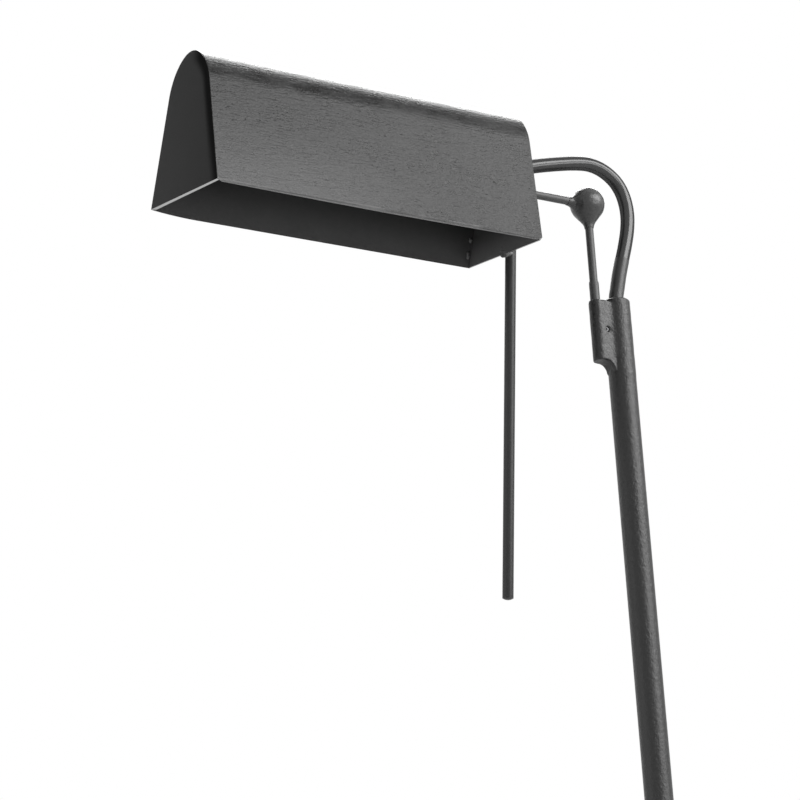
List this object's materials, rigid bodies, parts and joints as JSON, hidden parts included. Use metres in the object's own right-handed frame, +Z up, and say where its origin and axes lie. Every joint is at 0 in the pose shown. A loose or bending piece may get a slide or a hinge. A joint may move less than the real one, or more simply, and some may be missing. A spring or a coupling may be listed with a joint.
{
  "type": "floor lamp",
  "caption": "Reading floor lamp: arched sheet-iron shade on a ball-and-rod head that swivels in a socket at the pole top and tilts about its arm, with a hanging pull rod and a looped cable.",
  "frame": {"origin": "middle of the felt pad's underside, on the floor under the pole's axis", "axes": "+Z up the pole; -X from the pole towards the shade, along the arm; -Y to the front, where the picture was taken from"},
  "size_m": [0.5741, 0.28, 1.376],
  "materials": {
    "foot_iron": "black wax over cast iron, satin",
    "pole_iron": "blackened iron with a fine orange-peel grain",
    "forged_iron": "blackened forging, hammered, satin",
    "rod_iron": "blackened bar, satin",
    "shade_iron": "blackened sheet brushed along its length",
    "plate_iron": "blackened sheet, smooth satin",
    "dark_steel": "black oxide",
    "zinc_steel": "zinc plated",
    "brass": "plain",
    "black_rubber": "matt",
    "cable_jacket": "glossy black jacket",
    "sleeve_rubber": "matt shrunk sleeve",
    "lead_sheath": "satin lead sheath",
    "black_phenolic": "moulded, semi-gloss",
    "porcelain": "glazed",
    "nylon": "natural nylon",
    "felt": "pressed black felt",
    "milk_glass": "frosted inside"
  },
  "bodies": {
    "stand": {"base_plate": "foot_iron", "base_pad": "felt", "foot_stem": "zinc_steel", "base_washer": "zinc_steel", "base_nut": "zinc_steel", "lead_inlet_bush": "black_rubber", "pole_tube": "pole_iron", "pole_collar": "pole_iron", "cable_bush": "black_rubber", "rod_socket": "forged_iron", "retaining_screw": "dark_steel", "thrust_disc": "nylon", "flex_cable": "cable_jacket", "cable_sleeve": "sleeve_rubber"},
    "upright": {"swivel_spigot": "rod_iron", "upright_rod": "rod_iron", "ball_knuckle": "forged_iron", "friction_slug": "nylon", "friction_grub": "dark_steel"},
    "shade": {"arm_rod": "rod_iron", "arm_washers": "dark_steel", "arm_nuts": "dark_steel", "shade_shell": "shade_iron", "end_plate_far": "plate_iron", "end_plate_near": "plate_iron", "pull_leg": "rod_iron", "pull_rod": "rod_iron", "cable_gland": "black_phenolic", "gland_nut": "black_phenolic", "holder_bracket": "zinc_steel", "holder_nipple": "brass", "nipple_nuts": "brass", "holder_cap": "black_phenolic", "holder_shell": "black_phenolic", "holder_core": "porcelain", "centre_contact": "brass", "screw_shell": "brass", "switch_bush": "brass", "lamp_cap": "brass", "lamp_glass": "milk_glass", "lead_wires": "lead_sheath"},
    "switch": {"switch_key": "black_phenolic"}
  },
  "joints": [
    {"name": "head_swivel", "type": "hinge", "parent": "stand", "child": "upright", "pos_m": [-0.023, 0, 1.2135], "axis": [0, 0, 1], "range_deg": [-80, 80], "deforming": ["flex_cable", "cable_sleeve"]},
    {"name": "shade_tilt", "type": "hinge", "parent": "upright", "child": "shade", "pos_m": [-0.023, 0, 1.309], "axis": [1, 0, 0], "range_deg": [-70, 50], "deforming": ["flex_cable"]},
    {"name": "switch_turn", "type": "hinge", "parent": "shade", "child": "switch", "pos_m": [-0.1995, -0.00372, 1.32967], "axis": [0, 0.1771, -0.9842], "continuous": true}
  ]
}
